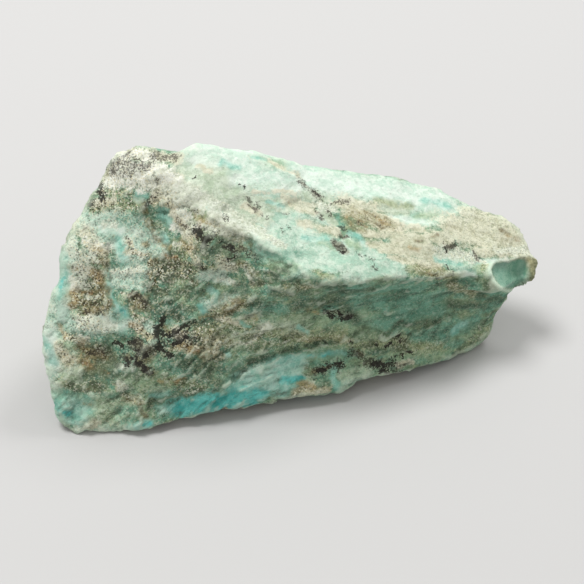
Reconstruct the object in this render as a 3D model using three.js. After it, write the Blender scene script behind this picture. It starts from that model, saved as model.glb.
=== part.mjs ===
// A rough lump of raw chrysocolla, as broken from the vein: one solid wedge, tall and blunt at its
// left end, thin at its right tip, with a sloping top face, a steep hollowed front, a rough back
// and a flat fracture face that it rests on. Millimetres, +Z up, X along the lump, Y to the back.
import * as THREE from "three";
import { ConvexHull } from "three/addons/math/ConvexHull.js";
import { ImprovedNoise } from "three/addons/math/ImprovedNoise.js";

// Driving dimensions: the lump's real length, depth and height.
const LENGTH = 95;
const DEPTH = 45;
const HEIGHT = 42;

// Every face of the lump can be seen from its heart, which its skin is measured from.
const HEART = new THREE.Vector3(-4, -4.5, 16);

// Seen from the heart in a frame drawn in by ROUNDED, the long lump is about as round as a ball.
const ROUNDED = new THREE.Vector3(1 / 1.6, 1 / 0.9, 1 / 0.8);

// Each face between corners is split in four this many times, then worn round this many times.
const SPLITS = 2;
const WEAR_ROUNDS = 2;
const WEAR = 0.45;

// Lumps and hollows that cover the whole skin: [size across, height], from broad to small.
const LUMPS = [[13, 0.7], [6, 0.4]];

// The mineral grew in beds that rise a little to the right. Their broken edges stand as ledges.
const BED_NORMAL = new THREE.Vector3(-0.14, -0.1, 1).normalize();
const BED_SPACING = 5.5;
const BED_WANDER = 1.4;
const LEDGE_HEIGHT = 0.35;

// Shell-like hollows where chips have sprung off: [middle, reach, depth].
const CHIPS = [
  [new THREE.Vector3(42.5, -16, 16), 5, 1.3],
  [new THREE.Vector3(-23, -1.5, 31.5), 5.5, 1.1],
  [new THREE.Vector3(-34.5, -10, 15.5), 6, 1.2],
  [new THREE.Vector3(-37, -4, 22.5), 6, 0.7],
  [new THREE.Vector3(-12, -11, 27.5), 7, 1.3],
  [new THREE.Vector3(-27, -17.5, 7), 5, 0.9],
  [new THREE.Vector3(6, -17, 19), 12, 0.9],
  [new THREE.Vector3(24, -17.5, 12), 8, 0.8],
  [new THREE.Vector3(-22, 18, 29), 9, 1.8],
  [new THREE.Vector3(0, 17.5, 22), 11, 2],
  [new THREE.Vector3(22, 11.5, 16), 9, 1.5],
  [new THREE.Vector3(-40, 6, 16), 8, 1.4],
  [new THREE.Vector3(38, -1, 10), 8, 1.2],
];

// Corners where fracture faces meet, [x, y, z], edge by edge and face by face.
const CREST = [
  [-27.5, 12, 41.2], [-22.5, 9.5, 42.4], [-17.5, 8, 41.2], [-14, 7.5, 43], [-9.5, 6.5, 41.8],
  [-6, 6, 40.2], [-1, 6, 39.2], [4.5, 5, 36.8], [12.5, 4.5, 33.8], [20, 4, 31.2], [26.5, 3, 29.2],
  [33.5, 1, 26.6], [38, -1.5, 24.4], [42, -4, 22.8], [45.5, -6, 21.6], [47.7, -10.5, 18.6],
];
const TIP = [
  [48.2, -13.5, 16.4], [46, -16, 13.2], [41.5, -15.5, 10], [39.5, -15, 5], [43.5, -14.5, 18.4],
  [41, -15, 18.8],
];
const LEFT_EDGE = [
  [-30, 12, 38], [-33.5, 9, 34], [-37, 7, 30.5], [-40.5, 3.5, 26.5], [-43.5, 0, 22],
  [-46.5, -3.5, 17], [-48, -7.5, 12], [-47.4, -10.5, 7.5], [-47.8, -12.5, 4], [-46, -15, 1],
];
const RIDGE = [
  [-19.5, 3, 40], [-17, -2, 39], [-14.5, -4.5, 37], [-11, -6, 34.3], [-6.5, -11, 30.4],
  [-1.5, -16.5, 27.3], [5, -18.7, 26], [11, -18.8, 24.5], [17.5, -17.7, 23.5], [20.5, -16.2, 23],
  [26, -18.2, 21], [34.5, -16.7, 19.4], [38.5, -19.2, 15.4],
];
const FRONT_FOOT = [
  [-44, -16, -0.5], [-39, -17.5, -0.5], [-33.5, -19.5, 0.8], [-30, -19.3, 2],
  [-21.5, -20.6, 2], [-13, -20.8, 2], [-5, -22, 2], [4.5, -22.5, 2], [10, -20.7, 2.3],
  [16, -22, 2], [27.5, -20.2, 1], [35.5, -17.7, 0], [37.5, -15.5, 0],
];
const FRONT_FACE = [
  [-28, 8.5, 39.4], [-23.5, 5, 40], [-28, 5, 34.8], [-22.5, 1, 35], [-32.5, 3.2, 30],
  [-26.5, 0, 31.8], [-23, -4.5, 29], [-18, -10.5, 30], [-11, -11.5, 29], [-36.5, -2.2, 23.5],
  [-28.5, -7, 24], [-20.5, -10.8, 23.5], [-10.5, -15, 22], [-42.5, -4.8, 17], [-37, -7.8, 18.5],
  [-31, -11, 19], [-34.5, -11, 14], [-29, -13.8, 15.5], [-20, -15, 17.5], [-1.5, -16.2, 20],
  [7.5, -17, 18], [17, -16.8, 17], [28, -16.4, 15], [-42.5, -10.5, 8], [-37, -14.5, 9],
  [-30, -16, 9.5], [-21, -18, 10], [-11.5, -17.5, 11.5], [-1.5, -17.5, 10.5], [7.5, -18, 10],
  [17, -18.5, 9], [28, -17.5, 8], [34, -16.3, 9], [-35, -17, 3.5], [-26, -18.2, 5.5],
  [-17, -19.6, 6], [-6.5, -19.7, 6], [3, -20.6, 6], [13, -20.2, 6], [23.5, -19.4, 5],
];
const TOP_FACE = [
  [-14, 2, 41], [-8, -1.5, 37.6], [-1.5, -4, 34], [4.5, -2, 34.5], [2.5, -11, 29.6], [11, -4, 31.6],
  [10, -11, 28.6], [21, -6.5, 28], [17.5, -13, 26], [28, -9.5, 25.3], [34.5, -7.5, 23.3],
  [27, -13.5, 23.3], [36, -12.5, 21], [41.5, -10.5, 20],
];
const BACK_FACE = [
  [-24, 16.5, 34.5], [-14, 14.5, 34], [-4, 13, 33], [6, 11.5, 29], [16, 10.5, 25.5],
  [28, 7, 22], [38.5, 1, 18], [-29.5, 14, 24], [-24, 20.5, 22], [-12, 20.5, 18.5],
  [2, 18.5, 15.5], [16, 14.5, 13], [29, 8.5, 11], [41, -2.5, 12], [45, -9, 14],
  [-38.5, 6, 15], [-36.5, 11.5, 8], [-43, 1, 9],
];
const BACK_FOOT = [
  [-28, 20.5, 6], [-15, 22.5, 3.5], [-1, 20.5, 2], [13, 17, 1], [26, 10, 0], [35.5, 0, 0],
  [-37.5, 7.5, 0.5], [-32, 14.5, 1.5], [-43.5, -4.5, 0], [-46, -9.5, 0.5],
];
const BASE = [
  [-36.5, -6.5, -1], [-30, 6, -1], [-20, 14.5, -1], [-8, 14, -1], [-22, -8.5, -0.5],
  [-10, -7, -1], [4, -8.5, -1], [6, 8.5, -1], [18, -8.5, -0.5], [20, 2, -1], [31, -9, -1],
];
const CORNERS = [
  CREST, TIP, LEFT_EDGE, RIDGE, FRONT_FOOT, FRONT_FACE, TOP_FACE, BACK_FACE, BACK_FOOT, BASE,
].flat().map((corner) => new THREE.Vector3(...corner));

// The faces between the corners, as triples of corners that are neighbours seen from the heart.
function fractureFaces(corners) {
  const seen = corners.map((c) => c.clone().sub(HEART).multiply(ROUNDED).normalize());
  return new ConvexHull().setFromPoints(seen).faces.flatMap((face) =>
    [face.edge, face.edge.next, face.edge.prev].map((edge) => seen.indexOf(edge.head().point)));
}

// The same faces, each split in four at the middles of its edges.
function split({ points, faces }) {
  const made = points.slice();
  const middles = new Map();
  const middle = (a, b) => {
    const key = a < b ? `${a} ${b}` : `${b} ${a}`;
    if (!middles.has(key)) {
      middles.set(key, made.length);
      made.push(points[a].clone().lerp(points[b], 0.5));
    }
    return middles.get(key);
  };
  const quarters = [];
  for (let i = 0; i < faces.length; i += 3) {
    const [a, b, c] = faces.slice(i, i + 3);
    const [ab, bc, ca] = [middle(a, b), middle(b, c), middle(c, a)];
    quarters.push(a, ab, ca, ab, b, bc, ca, bc, c, ab, bc, ca);
  }
  return { points: made, faces: quarters };
}

// Draws each point a little towards the middle of its neighbours, which rounds the edges.
function wear({ points, faces }) {
  const sums = points.map(() => new THREE.Vector3());
  const counts = new Array(points.length).fill(0);
  for (let i = 0; i < faces.length; i++) {
    const next = faces[i % 3 === 2 ? i - 2 : i + 1];
    sums[faces[i]].add(points[next]);
    counts[faces[i]]++;
  }
  const worn = points.map((p, i) => p.clone().lerp(sums[i].divideScalar(counts[i]), WEAR));
  return { points: worn, faces };
}

const noise = new ImprovedNoise();
const noiseAt = (p, size) => noise.noise(p.x / size, p.y / size, p.z / size);

// How far the broken skin stands proud of its plain faces at a point.
function relief(p) {
  const lumps = LUMPS.reduce((sum, [size, height]) => sum + height * noiseAt(p, size), 0);
  const bed = (p.dot(BED_NORMAL) + BED_WANDER * noiseAt(p, 2 * BED_SPACING)) / BED_SPACING;
  const ledge = LEDGE_HEIGHT * (bed - Math.floor(bed) - 0.5);
  const chipped = CHIPS.reduce((sum, [middle, reach, depth]) =>
    sum + depth * Math.max(0, 1 - p.distanceToSquared(middle) / reach ** 2), 0);
  return lumps + ledge - chipped;
}

function asGeometry({ points, faces }) {
  const geometry = new THREE.BufferGeometry().setFromPoints(points).setIndex(faces);
  geometry.computeVertexNormals();
  return geometry;
}

function roughened(geometry) {
  const { position, normal } = geometry.attributes;
  const p = new THREE.Vector3();
  const n = new THREE.Vector3();
  for (let i = 0; i < position.count; i++) {
    p.fromBufferAttribute(position, i);
    n.fromBufferAttribute(normal, i);
    p.addScaledVector(n, relief(p));
    position.setXYZ(i, p.x, p.y, Math.max(p.z, 0));
  }
  return geometry;
}

// Brings the skin to the real size, centred over the middle of the face that it rests on.
function sized(geometry) {
  geometry.computeBoundingBox();
  const { min, max } = geometry.boundingBox;
  const size = max.clone().sub(min);
  return geometry
    .translate(-(min.x + max.x) / 2, -(min.y + max.y) / 2, -min.z)
    .scale(LENGTH / size.x, DEPTH / size.y, HEIGHT / size.z);
}

let skin = { points: CORNERS, faces: fractureFaces(CORNERS) };
for (let i = 0; i < SPLITS; i++) skin = split(skin);
for (let i = 0; i < WEAR_ROUNDS; i++) skin = wear(skin);

const stone = new THREE.Mesh(
  sized(roughened(asGeometry(skin))),
  new THREE.MeshStandardMaterial({ color: 0x9fc7b4, roughness: 0.85, metalness: 0 }),
);
stone.name = "chrysocolla";
const lump = new THREE.Group();
lump.add(stone);
export default lump;
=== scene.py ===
"""A rough lump of raw chrysocolla resting on a pale floor under soft studio light.

The stone is dressed from its plain solid: finely remeshed, given ledges, chips and grain, and
coloured by where its minerals lie.
"""
import math

import bpy
import numpy as np
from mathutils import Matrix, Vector, noise
from mathutils.bvhtree import BVHTree


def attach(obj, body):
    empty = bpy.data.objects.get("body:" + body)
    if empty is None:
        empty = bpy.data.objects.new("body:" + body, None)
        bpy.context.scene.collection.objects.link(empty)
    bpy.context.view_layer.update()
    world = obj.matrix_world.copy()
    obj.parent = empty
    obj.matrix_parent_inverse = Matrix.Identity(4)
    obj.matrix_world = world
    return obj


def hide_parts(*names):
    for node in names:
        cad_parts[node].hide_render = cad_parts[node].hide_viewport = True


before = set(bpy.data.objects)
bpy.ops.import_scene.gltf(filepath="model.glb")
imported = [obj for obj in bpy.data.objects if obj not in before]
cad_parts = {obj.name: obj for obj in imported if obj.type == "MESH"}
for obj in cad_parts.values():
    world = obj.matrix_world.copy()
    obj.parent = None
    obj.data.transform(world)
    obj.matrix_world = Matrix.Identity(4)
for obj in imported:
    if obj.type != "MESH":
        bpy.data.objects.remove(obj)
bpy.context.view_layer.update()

# ---- Camera ----------------------------------------------------------------------------------
# Looks down on the stone's front from a little to its left, from about 20 cm away. The picture
# is square, and places in it are counted in points from its top left corner.
EYE = Vector((-0.0505, -0.1614, 0.1518))
LOOK_AT = Vector((-0.0021, -0.0120, 0.0200))
HALF_VIEW = math.tan(math.radians(29) / 2)
SENSOR = 36
PICTURE = 584


def set_up(thing, place, aim):
    """Puts the camera or a lamp in its place, turned towards its aim."""
    thing.location = place
    thing.rotation_mode = "QUATERNION"
    thing.rotation_quaternion = (aim - place).to_track_quat("-Z", "Y")
    bpy.context.scene.collection.objects.link(thing)


camera_data = bpy.data.cameras.new("camera")
camera_data.sensor_width = SENSOR
camera_data.lens = SENSOR / 2 / HALF_VIEW
camera_data.clip_start = 0.01
camera = bpy.data.objects.new("camera", camera_data)
set_up(camera, EYE, LOOK_AT)
bpy.context.scene.camera = camera
bpy.context.scene.view_settings.view_transform = "Standard"

# ---- Floor -----------------------------------------------------------------------------------
# A wide, plain, pale matt sheet under the stone.
FLOOR_HALF = 1.5
FLOOR_COLOUR = (0.5, 0.495, 0.49, 1)
FLOOR_ROUGHNESS = 0.9

floor_data = bpy.data.meshes.new("floor")
floor_corners = [(x * FLOOR_HALF, y * FLOOR_HALF, 0) for x, y in ((-1, -1), (1, -1), (1, 1), (-1, 1))]
floor_data.from_pydata(floor_corners, [], [(0, 1, 2, 3)])
floor = bpy.data.objects.new("floor", floor_data)
bpy.context.scene.collection.objects.link(floor)
floor_paint = bpy.data.materials.new("floor_paint")
floor_paint.use_nodes = True
floor_shader = floor_paint.node_tree.nodes["Principled BSDF"]
floor_shader.inputs["Base Color"].default_value = FLOOR_COLOUR
floor_shader.inputs["Roughness"].default_value = FLOOR_ROUGHNESS
floor_data.materials.append(floor_paint)

# ---- Light -----------------------------------------------------------------------------------
# A large soft lamp high above and a little behind the stone, a weaker one to its right, and an
# even sky. The top faces are bright and the hollowed front lies in half shade.
LAMPS_AIM = Vector((0, 0, 0.02))
SKY_COLOUR = (1.0, 1.0, 0.98, 1)
SKY_STRENGTH = 0.57


def soft_lamp(name, place, width, watts):
    lamp_data = bpy.data.lights.new(name, "AREA")
    lamp_data.shape = "DISK"
    lamp_data.size = width
    lamp_data.energy = watts
    set_up(bpy.data.objects.new(name, lamp_data), place, LAMPS_AIM)


soft_lamp("key_lamp", Vector((-0.25, 0.25, 0.90)), width=0.40, watts=6.95)
soft_lamp("right_lamp", Vector((0.50, 0.30, 0.70)), width=0.30, watts=2.9)

sky = bpy.data.worlds.new("sky")
sky.use_nodes = True
sky_shader = sky.node_tree.nodes["Background"]
sky_shader.inputs["Color"].default_value = SKY_COLOUR
sky_shader.inputs["Strength"].default_value = SKY_STRENGTH
bpy.context.scene.world = sky

# ---- Stone -----------------------------------------------------------------------------------
# One solid lump of chrysocolla in sandy matrix. Its plain solid is rounded, remeshed finely and
# broken up by noise into ledges, chips and grain. All lengths in this section are millimetres.
MM = 0.001
VOXEL = 0.40
WELD_REACH = 0.001

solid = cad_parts["chrysocolla"]
stone_data = bpy.data.meshes.new("raw_stone")
stone_data.from_pydata(
    [v.co.copy() for v in solid.data.vertices], [], [tuple(p.vertices) for p in solid.data.polygons])
stone = bpy.data.objects.new("raw_stone", stone_data)
bpy.context.scene.collection.objects.link(stone)

weld = stone.modifiers.new("weld", "WELD")
weld.merge_threshold = WELD_REACH * MM
rounding = stone.modifiers.new("rounding", "SUBSURF")
rounding.levels = 2
remesh = stone.modifiers.new("remesh", "REMESH")
remesh.mode = "VOXEL"
remesh.voxel_size = VOXEL * MM
remesh.use_smooth_shade = True
stone_data = bpy.data.meshes.new_from_object(stone.evaluated_get(bpy.context.evaluated_depsgraph_get()))
stone.modifiers.clear()
stone.data = stone_data
stone_data.name = "raw_stone"


def keep(name, values):
    """Stores one number for each point of the skin, for the material to read."""
    stored = stone_data.attributes.new(name, "FLOAT", "POINT")
    stored.data.foreach_set("value", np.ascontiguousarray(values, np.float32))


def smoothstep(low, high, value):
    t = np.clip((value - low) / (high - low), 0, 1)
    return t * t * (3 - 2 * t)


def lumps(points, across, octaves=3):
    """Rounded noise from about -1 to 1, with lumps about the given size across."""
    fading, finer = 0.8, 2.0
    return np.array([noise.fractal(p, fading, finer, octaves) for p in (points / across).tolist()])


def scars(points, across):
    """Shell-like hollows side by side with sharp crests between: 0 in a hollow, about 1 on a crest."""
    return np.array([noise.voronoi(p)[0][0] for p in (points / across).tolist()])


places = np.empty(len(stone_data.vertices) * 3, np.float32)
stone_data.vertices.foreach_get("co", places)
places = places.reshape(-1, 3).astype(float) / MM
outward = np.array([v.normal for v in stone_data.vertices])
skin = BVHTree.FromPolygons(places.tolist(), [tuple(p.vertices) for p in stone_data.polygons])


def seen_at(x, y):
    """The place on the stone that shows at a point of the square picture, or lies nearest to it."""
    across = (x / PICTURE - 0.5) * 2 * HALF_VIEW
    down = (y / PICTURE - 0.5) * 2 * HALF_VIEW
    ray = camera.rotation_quaternion @ Vector((across, -down, -1)).normalized()
    place = skin.ray_cast(EYE / MM, ray)[0]
    if place is None:
        place = skin.find_nearest(EYE / MM + ray * (LOOK_AT - EYE).length / MM)[0]
    return np.array(place)


def nearness(streaks, points):
    """1 on a streak's line, 0 at its reach and beyond. Streaks run (x, y) to (x, y), reach."""
    shortest_run = 1e-9
    near = np.zeros(len(points))
    for x1, y1, x2, y2, reach in streaks:
        start = seen_at(x1, y1)
        run = seen_at(x2, y2) - start
        along = np.clip((points - start) @ run / max(run @ run, shortest_run), 0, 1)
        distance = np.linalg.norm(points - start - along[:, None] * run, axis=1)
        near = np.maximum(near, 1 - distance / reach)
    return near


# Beds: the mineral lies in beds that are nearly level at the thin end and climb steeply to the
# right at the blunt left end. beds holds each point's place along, through and up the beds.
THIN_END_SLOPE = 0.06
BLUNT_END_SLOPE = 0.55
STEEPER_FROM = -14
climb = THIN_END_SLOPE * places[:, 0] + BLUNT_END_SLOPE * np.minimum(places[:, 0] - STEEPER_FROM, 0)
beds = np.column_stack([places[:, 0], places[:, 1], places[:, 2] - climb])

# Ledges on the sides that face the camera: walking from x, y to x, y in picture points, the skin
# on the left hand stands higher by the last number of millimetres, out to the reach before it.
LEDGES = [
    (88, 210, 124, 199, 3, 0.2), (167, 256, 147, 206, 2.5, 0.6), (107, 302, 107, 246, 2.5, 0.7),
    (94, 334, 132, 337, 2.5, 0.4), (157, 352, 160, 320, 2, 0.3), (186, 206, 222, 226, 3, 0.2),
    (345, 345, 302, 348, 3.5, 0.5), (302, 348, 264, 362, 3.5, 0.5), (264, 362, 246, 373, 3, 0.4),
    (246, 373, 228, 381, 3, 0.4), (228, 381, 212, 395, 3, 0.4), (150, 402, 172, 399, 2.5, 0.4),
    (172, 399, 202, 390, 2.5, 0.6), (130, 299, 150, 288, 2, 0.4), (150, 288, 166, 258, 2, 0.4),
    (150, 268, 109, 270, 1.8, 0.35), (148, 279, 110, 280, 1.4, 0.25), (117, 368, 103, 343, 2, 0.5),
    (222, 226, 262, 247, 3, 0.5), (262, 247, 302, 274, 3, 0.6), (300, 281, 352, 284, 3, 0.35),
    (352, 284, 405, 278, 3, 0.3), (412, 271, 456, 278, 2.5, 0.4), (456, 278, 490, 276, 2.5, 0.4),
    (200, 322, 250, 302, 2.5, 0.5), (214, 333, 256, 311, 2.5, 0.6), (250, 334, 322, 314, 2.5, 0.5),
    (330, 346, 392, 337, 2.5, 0.5), (388, 314, 470, 297, 2.5, 0.3), (170, 300, 216, 284, 2.5, 0.5),
    (84, 431, 104, 408, 1.5, 0.35), (98, 432, 118, 410, 1.5, 0.35), (112, 432, 131, 412, 1.5, 0.3),
    (142, 426, 150, 399, 2.5, 0.4), (322, 200, 303, 181, 4, 0.5), (303, 181, 268, 155, 4, 0.5),
    (470, 206, 428, 224, 3, 0.35), (428, 224, 372, 214, 3, 0.35),
]
LEDGE_EDGE = 0.25


def ledge_heights(points):
    heights = np.zeros(len(points))
    for x1, y1, x2, y2, reach, height in LEDGES:
        start = seen_at(x1, y1)
        run = seen_at(x2, y2) - start
        along = (points - start) @ run / (run @ run)
        offset = points - start - np.clip(along, 0, 1)[:, None] * run
        left_hand = np.cross(outward, run / np.linalg.norm(run))
        sideways = (offset * left_hand).sum(axis=1)
        fading = np.clip(1 - np.linalg.norm(offset, axis=1) / reach, 0, 1)
        heights += height * (smoothstep(-LEDGE_EDGE, LEDGE_EDGE, sideways) - 0.5) * fading
    return heights


# Parts of the skin, each 1 on the part and 0 off it, found by its slope and by places in
# millimetres, and how broken the skin is there: roughest at the back, smoothest on the upper face.
topside = smoothstep(0.45, 0.85, outward[:, 2]) * smoothstep(-26, -16, places[:, 0])
blunt_end = smoothstep(-22, -31, places[:, 0]) * smoothstep(9, 16, places[:, 2])
thin_end = smoothstep(8, 20, places[:, 0])
backside = smoothstep(0.1, 0.6, outward[:, 1])
rough = 1 + 0.4 * backside - 0.75 * topside - (0.5 * blunt_end + 0.15 * thin_end) * (1 - topside)

# Noise that bends the other patterns, broad and fine, with its own seed for each direction.
bend = np.column_stack([lumps(places + seed, 9) for seed in (0, 40, 80)])
flutter = np.column_stack([lumps(places + seed, 2.2) for seed in (5, 25, 45)])


def bed_edges(thickness, wander, seed):
    """Broken edges of the beds: each bed leans out from its foot to its overhanging top."""
    height = (beds[:, 2] + wander * bend[:, 0] + 0.35 * wander * flutter[:, 1]) / thickness
    shows = smoothstep(-0.2, 0.3, lumps(beds * (0.5, 0.5, 1.5) + seed, 4 * thickness))
    return shows * (height - np.floor(height) - 0.5)


# The broken skin, pattern by pattern. Each line opens with how far its pattern stands out.
stretched = (beds + 1.2 * bend) * (0.45, 0.6, 1)
relief = 0.5 * rough * bed_edges(thickness=2.6, wander=1.6, seed=0)
relief += 0.16 * rough * bed_edges(thickness=1.3, wander=1.0, seed=50)
relief += 0.65 * rough * (scars(stretched, 3.2) - 0.5)
relief += 0.35 * rough * (scars(places + bend, 2.4) - 0.5)
relief += 0.26 * (0.4 + 0.6 * rough) * lumps(places, 3.2)
relief += 0.14 * (0.3 + 0.7 * rough) * lumps(places, 1.2, octaves=2)
relief += 0.14 * rough * lumps(beds * (0.3, 0.4, 1) + 7, 1.1, octaves=2)

# The skin under the thin tip is smoother than the rest. Its streak is written as nearness reads it.
CALM = [(425, 296, 505, 290, 4)]
CALMED = 0.85
relief *= 1 - CALMED * smoothstep(0, 0.5, nearness(CALM, places))
relief += ledge_heights(places + 0.5 * flutter)

# Swells and slumps that the plain solid leaves out: x, y in picture points, how far the swell
# spreads and how far it stands out, in millimetres.
SWELLS = [
    (64, 246, 7, 1.0), (76, 222, 5, 0.6), (52, 374, 5, 0.6), (170, 424, 5, -0.9), (290, 166, 5, 0.6),
    (250, 154, 4, 0.4), (190, 150, 3, 0.5), (510, 230, 6, 0.4), (525, 276, 5, 1.3), (519, 285, 4, 1.3),
    (488, 322, 5, 0.8), (474, 342, 4, 0.7), (432, 364, 5, -0.5), (390, 374, 5, -0.4),
    (484, 290, 6, -0.8), (458, 288, 5, -0.4), (430, 286, 5, -0.3), (238, 250, 5, -0.2),
]
for x, y, spread, height in SWELLS:
    distance = np.linalg.norm(places - seen_at(x, y), axis=1)
    relief += height * np.clip(1 - (distance / spread) ** 2, 0, 1) ** 2

# A glassy scoop is struck out of the thin tip. Its rim is given by its corners as they show in
# the picture. Inside the rim the skin is smooth and dished, and a low lip runs round it.
SCOOP_X, SCOOP_Y = 509, 273
SCOOP_CORNERS = [
    (490, 270), (493, 264), (500, 262), (508, 262), (515, 260), (520, 258), (525, 259), (527, 266),
    (526, 274), (522, 281), (516, 286), (510, 289), (503, 288), (497, 284), (493, 278),
]
SCOOP_SPAN = 9
SCOOP_DEPTH = 1.3
SCOOP_LIP = 0.15
FAR_OUTSIDE = 9
scoop_middle = seen_at(SCOOP_X, SCOOP_Y)
scoop_sight = np.array((Vector(scoop_middle) - EYE / MM).normalized())
from_eye = (places - np.array(EYE / MM)) @ np.array(camera.rotation_quaternion.to_matrix())
shows_at_x = (from_eye[:, 0] / -from_eye[:, 2] / 2 / HALF_VIEW + 0.5) * PICTURE
shows_at_y = (0.5 + from_eye[:, 1] / from_eye[:, 2] / 2 / HALF_VIEW) * PICTURE
from_x, from_y = shows_at_x - SCOOP_X, shows_at_y - SCOOP_Y
corners = np.array(SCOOP_CORNERS) - (SCOOP_X, SCOOP_Y)
corner_turns = np.arctan2(corners[:, 1], corners[:, 0])
rim_reach = np.interp(
    np.arctan2(from_y, from_x), corner_turns, np.linalg.norm(corners, axis=1), period=2 * math.pi)

# outness is 0 in the scoop's middle, 1 on its rim and more outside it. Skin beyond the scoop's
# span, or turned away from the camera, lies far outside.
outness = np.hypot(from_x, from_y) / rim_reach
outness = np.where(np.linalg.norm(places - scoop_middle, axis=1) < SCOOP_SPAN, outness, FAR_OUTSIDE)
outness = np.where(outward @ scoop_sight < 0.1, outness, FAR_OUTSIDE)
relief *= smoothstep(0.85, 1.1, outness)
relief += SCOOP_LIP * smoothstep(0.9, 1.05, outness) * smoothstep(1.4, 1.05, outness)
dish = SCOOP_DEPTH * np.clip(1 - outness ** 3, 0, 1)
places += relief[:, None] * outward + dish[:, None] * scoop_sight

# Inside, the scoop is glassy, with painted shadow under its upper left edge. Its lower left lip is
# pale, and the broken rim on its right is brown.
keep("glassy", 1 - smoothstep(0.88, 1.0, outness))
keep("scoop_shadow", smoothstep(0.1, 1.1, -0.032 * from_x - 0.06 * from_y))
lower_left = smoothstep(0.1, 0.6, 0.035 * from_y - 0.045 * from_x)
keep("lip", smoothstep(0.94, 1.02, outness) * smoothstep(1.26, 1.08, outness) * lower_left)
right = smoothstep(6, 14, from_x) * smoothstep(-18, -13, from_y)
keep("rim", smoothstep(0.96, 1.06, outness) * smoothstep(2.0, 1.4, outness) * right)

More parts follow.
